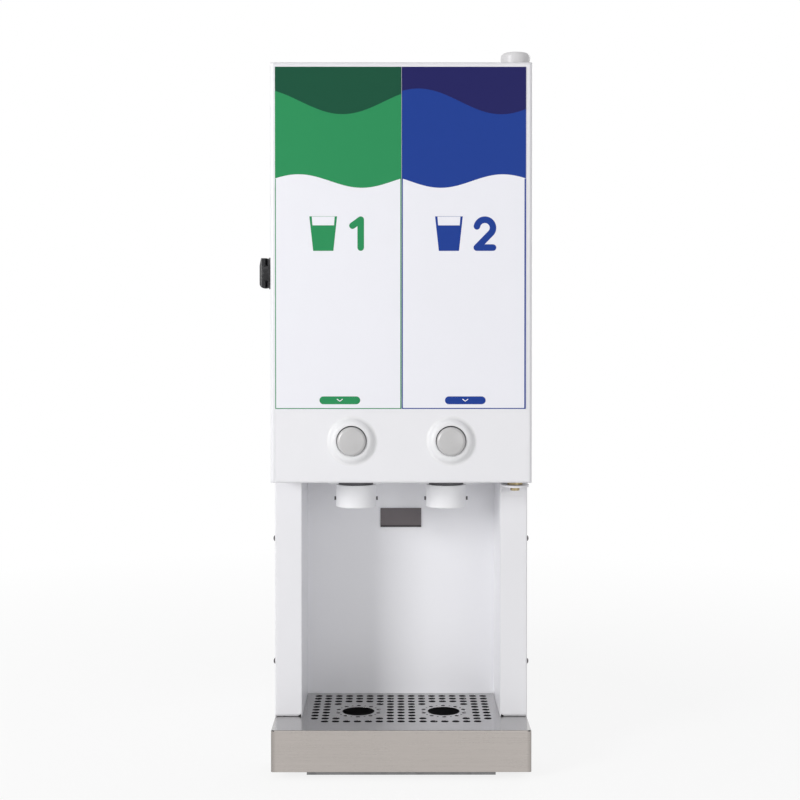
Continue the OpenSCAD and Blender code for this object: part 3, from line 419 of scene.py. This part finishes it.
finishOf = {
    white: "top_panel rear_panel rear_grille front_rails lower_hinge_bracket",
    doorWhite: "door_skin",
    postWhite: "left_side_panel right_side_panel",
    bayPaintedLight: "bay_ceiling splash_back",
    whitePart: "valve_blocks left_nozzle_shroud right_nozzle_shroud",
    flangeShadedPart: "nozzle_flanges",
    hingePart: "hinge_cap",
    bezelPart: "left_button_bezel right_button_bezel",
    liner: "chamber_liner door_liner",
    capGrey: "left_button_cap right_button_cap",
    latchBlack: "latch_base latch_knob",
    dark: "display_housing fan_rotor cable_gland",
    grey: "pinch_solenoids fan_motor control_box button_nuts button_switches",
    fasciaSteel: "tray_fascia",
    panShadedSteel: "drip_tray",
    grilleSteel: "drip_grille",
    traySteel: "pack_shelf latch_hook latch_keeper left_pinch_plunger right_pinch_plunger",
    coldPlate: "evaporator_plate condenser",
    zinc: "fan_shroud upper_hinge_bracket",
    chassisShadedZinc: "base_chassis",
    screwSteel: "left_button_spring right_button_spring",
    dullScrew: "nozzle_screws side_screws",
    brass: "hinge_pins hinge_bushes",
    copper: "refrigerant_pipes",
    blackEnamel: "compressor",
    rubber: "rubber_feet compressor_mounts",
    seal: "door_gasket",
    foam: "cabinet_foam door_foam",
    film: "left_graphic_panel right_graphic_panel",
    pane: "display_window",
}
for finish, names in finishOf.items():
    for name in names.split():
        slots = nodes[name].data.materials
        slots.clear()
        slots.append(finish)
print("finishes given to", sum(len(names.split()) for names in finishOf.values()), "nodes")


# mesh tools

def joinLoops(shape, loops, smooth=False):
    # skin of quads between each closed loop of points and the next
    for a, b in zip(loops, loops[1:]):
        for k in range(len(a)):
            n = (k + 1) % len(a)
            face = shape.faces.new((a[k], a[n], b[n], b[k]))
            face.smooth = smooth


def placePiece(name, shape, finish, body):
    bmesh.ops.recalc_face_normals(shape, faces=shape.faces)
    mesh = bpy.data.meshes.new(name)
    shape.to_mesh(mesh)
    shape.free()
    mesh.materials.append(finish)
    piece = bpy.data.objects.new(name, mesh)
    bpy.context.scene.collection.objects.link(piece)
    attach(piece, body)


def fillBetween(shape, rings):
    # flat face inside the first ring and outside the others
    edges = []
    for ring in rings:
        edges += [shape.edges.new((ring[k - 1], ring[k])) for k in range(len(ring))]
    bmesh.ops.triangle_fill(shape, use_beauty=True, use_dissolve=False, edges=edges)


def flatPiece(name, outline, front, thick, finish, body, holes=()):
    # closed plate from an outline in x and z, its back on the plane y = front
    shape = bmesh.new()
    rings = []
    for loop in (outline, *holes):
        rings.append([[shape.verts.new((x, y, z)) for x, z in loop] for y in (front - thick, front)])
    for face in zip(*rings):
        if holes:
            fillBetween(shape, face)
        else:
            shape.faces.new(face[0])
    for pair in rings:
        joinLoops(shape, pair)
    placePiece(name, shape, finish, body)


def roundedBar(x, z, width, height, steps=10):
    r = height / 2
    points = []
    for cx, start in ((x + width / 2 - r, -90), (x - width / 2 + r, 90)):
        for k in range(steps + 1):
            turn = math.radians(start + 180 * k / steps)
            points.append((cx + r * math.cos(turn), z + r * math.sin(turn)))
    return points


def strokeOutline(path, width, steps=8):
    # outline of a round-ended pen line along a path in x and z
    half = width / 2
    left, right = [], []
    for k, (x, z) in enumerate(path):
        a, b = path[max(k - 1, 0)], path[min(k + 1, len(path) - 1)]
        dx, dz = b[0] - a[0], b[1] - a[1]
        size = math.hypot(dx, dz)
        nx, nz = -dz / size * half, dx / size * half
        left.append((x + nx, z + nz))
        right.append((x - nx, z - nz))

    def roundEnd(centre, start):
        first = math.atan2(start[1] - centre[1], start[0] - centre[0])
        turns = [first - math.pi * k / steps for k in range(1, steps)]
        return [(centre[0] + half * math.cos(turn), centre[1] + half * math.sin(turn)) for turn in turns]

    return left + roundEnd(path[-1], left[-1]) + right[::-1] + roundEnd(path[0], right[0])


# printed panels

printLook = {
    "thin": 0.00006,            # thickness of one layer of print
    "fieldDown": 0.152,         # height of the colour field below the panel's top
    "fieldSwing": 0.009,        # height of its wave
    "fieldWave": (1.0, 0.4),    # its turns across the panel, and where it starts
    "bandDown": 0.046,          # the same of the darker band
    "bandSwing": 0.0171,
    "bandWave": (0.75, 2.2),
    "waveSteps": 40,
    "line": {"left": (0.0011, 0.0014), "right": (0.0013, 0.0020)},    # widths of the left and right outlines
    "lineGap": 0.0002,          # between an outline's end and the colour field
    "aside": 0.002,             # pill and sign lie this far right of the panel's middle
    "pillUp": 0.0115,           # pill's centre above the panel's bottom
    "pill": (0.0545, 0.0105),
    "arrowDrop": 0.0012,        # tip of the pill's arrow below the pill's centre
    "arrow": (0.0034, 0.0026),
    "arrowPen": 0.0012,
    "signDown": 0.222,          # middle of the sign below the panel's top
    "signHigh": 0.046,
    "tumblerAside": -0.022,
    "tumbler": (0.0185, 0.0135),    # half widths at the rim and the foot
    "tumblerWall": 0.0032,
    "tumblerRim": 0.00032,
    "tumblerLean": 0.0009,      # how far each inner wall leans in down to the drink
    "emptyShare": 0.26,
    "numeralAside": 0.026,
    "pen": 0.0088,
    "stemAside": 0.002,
    "flag": (0.011, 0.008),
    "bow": 0.0108,
    "bowTurn": (170, -46, -9),  # first angle, end and step in degrees
}
inkLook = {"rough": 0.34, "ior": 1.22, "relief": 0.01, "depth": 0.0002, "edge": 0.0}
inks = {
    "left": ((0.028, 0.270, 0.100), (0.010, 0.081, 0.043)),
    "right": ((0.015, 0.050, 0.285), (0.016, 0.016, 0.108)),
}


def tumblerOutline(x, mid, look):
    # a plain tumbler, and the empty part over its drink
    rim, foot = look["tumbler"]
    top, bottom = mid + look["signHigh"] / 2, mid - look["signHigh"] / 2
    outline = [(x - rim, top), (x - foot, bottom), (x + foot, bottom), (x + rim, top)]
    mouth = rim - look["tumblerWall"]
    floor = mouth - look["tumblerLean"]
    brim, drink = top - look["tumblerRim"], top - look["signHigh"] * look["emptyShare"]
    return outline, [(x - mouth, brim), (x - floor, drink), (x + floor, drink), (x + mouth, brim)]


def numeralStrokes(side, x, mid, look):
    reach = (look["signHigh"] - look["pen"]) / 2
    top, bottom = mid + reach, mid - reach
    if side == "left":
        stem = x + look["stemAside"]
        wide, drop = look["flag"]
        return {"NumeralStem": [(stem, bottom), (stem, top)],
                "NumeralFlag": [(stem, top), (stem - wide, top - drop)]}
    r = look["bow"]
    turns = [math.radians(angle) for angle in range(*look["bowTurn"])]
    bow = [(x + r * math.cos(turn), top - r + r * math.sin(turn)) for turn in turns]
    return {"NumeralBow": bow + [(x - r, bottom)],
            "NumeralFoot": [(x - r, bottom), (x + r, bottom)]}


def printPanel(side, look):
    low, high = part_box(side + "_graphic_panel")
    x0, x1, z0, z1 = low.x, high.x, low.z, high.z
    bright, deep = inks[side]
    ink = printedFilm(side + "Ink", {**inkLook, "colour": bright})
    deepInk = printedFilm(side + "DeepInk", {**inkLook, "colour": deep})
    flip = 1 if side == "left" else -1

    def put(name, outline, layer=0, finish=ink, holes=()):
        flatPiece(side + name, outline, low.y - look["thin"] * layer, look["thin"], finish, "door",
                  holes)

    def wave(down, swing, turns, shift):
        steps = look["waveSteps"]
        parts = [k / steps for k in range(steps + 1)]
        return [(x0 + (x1 - x0) * part,
                 z1 - down + swing * math.sin(flip * 2 * math.pi * turns * part + shift)) for part in parts]

    corners = [(x1, z1), (x0, z1)]
    field = wave(look["fieldDown"], look["fieldSwing"], *look["fieldWave"])
    put("ColourField", field + corners)
    put("DeepBand", wave(look["bandDown"], look["bandSwing"], *look["bandWave"]) + corners, 1, deepInk)

    near, far = look["line"][side]
    foot = z0 + near
    put("OutlineBottom", [(x0, z0), (x1, z0), (x1, foot), (x0, foot)])
    lines = {"OutlineLeft": (x0, x0 + near, field[0]), "OutlineRight": (x1 - far, x1, field[-1])}
    for name, (a, b, end) in lines.items():
        top = end[1] - look["lineGap"]
        put(name, [(a, foot), (b, foot), (b, top), (a, top)])

    middle = (x0 + x1) / 2 + look["aside"]
    pillMid = z0 + look["pillUp"]
    put("Pill", roundedBar(middle, pillMid, *look["pill"]))
    wide, rise = look["arrow"]
    tip = pillMid - look["arrowDrop"]
    arrow = [(middle - wide, tip + rise), (middle, tip), (middle + wide, tip + rise)]
    put("PillArrow", strokeOutline(arrow, look["arrowPen"]), 1, film)

    signMid = z1 - look["signDown"]
    outline, empty = tumblerOutline(middle + look["tumblerAside"], signMid, look)
    put("Tumbler", outline, holes=[empty])
    strokes = numeralStrokes(side, middle + look["numeralAside"], signMid, look)
    for layer, (name, path) in enumerate(strokes.items()):
        put(name, strokeOutline(path, look["pen"]), layer)


for side in sides:
    printPanel(side, printLook)
print("panels printed")


# screws of the rear panels

rearScrewLook = {
    "head": 0.0042,
    "rise": 0.0021,
    "brim": 0.0004,         # height of the straight edge
    "crown": 0.0024,        # radius that the dome closes towards
    "domeSteps": 5,
    "socket": 0.0017,
    "flare": 1.12,          # the socket's mouth and floor against its radius
    "taper": 0.97,
    "chamfer": 0.00012,
    "deep": 0.0012,
    "steps": 24,
    "inset": 0.010,         # from the panel's side edges
    # rows: up from the panel's foot, or down from its top
    "rows": {"rear_panel": (0.030, -0.0385), "rear_grille": (0.022, -0.030)},
}


def hexagonRadius(turn, radius):
    part = math.radians(60)
    return radius * math.cos(part / 2) / math.cos((turn % part) - part / 2)


def addScrew(shape, centre, look):
    # domed head that faces +y, with a six-sided socket
    rim, rise, brim, socket = look["head"], look["rise"], look["brim"], look["socket"]
    rings = [(rim, 0.0, False), (rim, brim, False)]
    for k in range(1, look["domeSteps"]):
        turn = math.radians(90 * k / look["domeSteps"])
        radius = rim * math.cos(turn) + look["crown"] * (1 - math.cos(turn))
        rings.append((radius, brim + (rise - brim) * math.sin(turn), False))
    rings.append((socket * look["flare"], rise, True))
    rings.append((socket, rise - look["chamfer"], True))
    rings.append((socket * look["taper"], rise - look["deep"], True))
    turns = [2 * math.pi * k / look["steps"] for k in range(look["steps"])]
    loops = []
    for radius, height, six in rings:
        loop = []
        for turn in turns:
            r = hexagonRadius(turn, radius) if six else radius
            loop.append(shape.verts.new(centre + Vector((r * math.cos(turn), height, r * math.sin(turn)))))
        loops.append(loop)
    joinLoops(shape, loops, smooth=True)
    shape.faces.new(loops[-1])
    shape.faces.new(loops[0])


def makeRearScrews(look):
    shape = bmesh.new()
    for name, rows in look["rows"].items():
        low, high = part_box(name)
        for x in (low.x + look["inset"], high.x - look["inset"]):
            for up in rows:
                z = low.z + up if up > 0 else high.z + up
                addScrew(shape, Vector((x, high.y, z)), look)
    placePiece("rearScrews", shape, screwSteel, "cabinet")


makeRearScrews(rearScrewLook)
print("rear screws set")


# lips in the bezels: each bore lies a little high, so the gap round the cap opens at the top

lipLook = {
    "rim": 0.0207,
    "wide": 0.00115,        # gap over the cap and under it
    "narrow": 0.00015,
    "back": 0.0004,         # lip's face behind the bezel's
    "deep": 0.002,
    "steps": 96,
}


def makeButtonLip(side, look):
    low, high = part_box(side + "_button_cap")
    x, z = (low.x + high.x) / 2, (low.z + high.z) / 2
    bore = (high.x - low.x) / 2 + (look["wide"] + look["narrow"]) / 2
    lift = (look["wide"] - look["narrow"]) / 2
    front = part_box(side + "_button_bezel")[0].y + look["back"]
    back = front + look["deep"]
    rim = look["rim"]
    turns = [2 * math.pi * k / look["steps"] for k in range(look["steps"])]
    shape = bmesh.new()
    loops = []
    for r, up, y in ((rim, 0, front), (bore, lift, front), (bore, lift, back), (rim, 0, back)):
        points = [(x + r * math.cos(turn), y, z + up + r * math.sin(turn)) for turn in turns]
        loops.append([shape.verts.new(point) for point in points])
    joinLoops(shape, loops + loops[:1])
    placePiece(side + "ButtonLip", shape, bezelPart, "door")


for side in sides:
    makeButtonLip(side, lipLook)
print("button lips set")


# hems under the front posts

hemLook = {
    "sheet": 0.0015,
    "gap": 0.0016,          # between the post and the tray's lip
    "clear": 0.0006,        # what the hem leaves of it
    "corner": 0.005,        # the post's rounded inner corner stays open
    "arc": 8,
}


def makePostHem(side, look):
    low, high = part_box(side + "_side_panel")
    flip = 1 if side == "right" else -1
    inner, outer = (low.x, high.x) if side == "right" else (high.x, low.x)
    start = inner + flip * look["corner"]
    bend = outer - flip * look["sheet"]
    outline = [(start, low.y + look["sheet"]), (start, low.y)]
    for k in range(look["arc"] + 1):
        turn = math.radians(90 * k / look["arc"])
        outline.append((bend + flip * look["sheet"] * math.sin(turn),
                        low.y + look["sheet"] * (1 - math.cos(turn))))
    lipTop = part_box("drip_grille")[1].z
    heights = (lipTop + look["clear"], lipTop + look["gap"])
    shape = bmesh.new()
    loops = [[shape.verts.new((x, y, z)) for x, y in outline] for z in heights]
    joinLoops(shape, loops)
    for loop in loops:
        shape.faces.new(loop)
    placePiece(side + "PostHem", shape, postWhite, "cabinet")


for side in sides:
    makePostHem(side, hemLook)
print("post hems set")


# stage, lamps, camera

stageLook = {
    "half": 14,
    "floor": (0.92, 0.92, 0.92),
    "shown": 0.84,          # share of plain white near the object, the rest keeps its shadow
    "reach": 0.5,           # from here out the white grows, by so much a metre
    "fade": 0.8,
    "world": 0.44,
}


def seenAsBackground(tree):
    # 1 for rays that show the background itself, in gloss and through glass too
    seen, gloss, through = [addNode(tree, "ShaderNodeLightPath", out=name)
                            for name in ("Is Camera Ray", "Is Glossy Ray", "Is Transmission Ray")]
    return clamped(tree, "ADD", seen + gloss, through)


def makeFloor(look):
    shape = bmesh.new()
    bmesh.ops.create_grid(shape, x_segments=2, y_segments=2, size=look["half"])
    mesh = bpy.data.meshes.new("floor")
    shape.to_mesh(mesh)
    shape.free()
    floor = bpy.data.objects.new("floor", mesh)
    bpy.context.scene.collection.objects.link(floor)
    finish, tree, place = startFinish("paleFloor")
    matte = addNode(tree, "ShaderNodeBsdfDiffuse", None, {"Color": (*look["floor"], 1)})
    glow = addNode(tree, "ShaderNodeEmission", None, {"Color": (1, 1, 1, 1), "Strength": 1.0})
    # plain white away from the object, with a soft shadow under it
    away = addNode(tree, "ShaderNodeVectorMath", {"operation": "LENGTH"}, {0: place}, 1)
    far = clamped(tree, "MULTIPLY", away - look["reach"], look["fade"])
    share = far * (1 - look["shown"]) + look["shown"]
    both = addNode(tree, "ShaderNodeMixShader", None, {0: seenAsBackground(tree) * share, 1: matte, 2: glow})
    addNode(tree, "ShaderNodeOutputMaterial", None, {"Surface": both})
    mesh.materials.append(finish)


def makeWorld(look):
    world = bpy.data.worlds.new("studio")
    bpy.context.scene.world = world
    world.use_nodes = True
    tree = world.node_tree
    tree.nodes.clear()
    sky = addNode(tree, "ShaderNodeBackground", None, {"Color": (1, 1, 1, 1), "Strength": look["world"]})
    page = addNode(tree, "ShaderNodeBackground", None, {"Color": (1, 1, 1, 1), "Strength": 1.0})
    both = addNode(tree, "ShaderNodeMixShader", None, {0: seenAsBackground(tree), 1: sky, 2: page})
    addNode(tree, "ShaderNodeOutputWorld", None, {"Surface": both})


lampAim = (0, -0.1, 0.48)
lampLook = {
    "key": {"at": (-2.45, -2.35, 1.2), "size": 1.0, "power": 56.0},
    "fill": {"at": (1.5, -3.0, 0.6), "size": 1.6, "power": 13.0},
    "top": {"at": (-0.3, -0.6, 2.7), "size": 1.6, "power": 4.0},
    "back": {"at": (1.6, 3.0, 1.5), "size": 2.0, "power": 22.0},
}


def makeLamp(name, look):
    data = bpy.data.lights.new(name, "AREA")
    data.size = look["size"]
    data.energy = look["power"]
    lamp = bpy.data.objects.new(name, data)
    lamp.location = look["at"]
    lamp.rotation_euler = (Vector(lampAim) - Vector(look["at"])).to_track_quat("-Z", "Y").to_euler()
    bpy.context.scene.collection.objects.link(lamp)


cameraLook = {"at": (0.000825, -2.169706, 0.615694), "lens": 65.3325, "sensor": 36, "tilt": 0.0157,
              "turn": 0.0022, "shift": -0.07, "farEnd": 60}


def makeCamera(look):
    data = bpy.data.cameras.new("camera")
    data.lens = look["lens"]
    data.sensor_width = look["sensor"]
    data.shift_y = look["shift"]
    data.clip_end = look["farEnd"]
    camera = bpy.data.objects.new("camera", data)
    camera.location = look["at"]
    camera.rotation_euler = (math.pi / 2 - look["tilt"], 0, -look["turn"])
    bpy.context.scene.collection.objects.link(camera)
    bpy.context.scene.camera = camera


makeFloor(stageLook)
makeWorld(stageLook)
for name, look in lampLook.items():
    makeLamp(name, look)
makeCamera(cameraLook)
bpy.context.scene.view_settings.view_transform = "Standard"
print("stage, lamps and camera set")
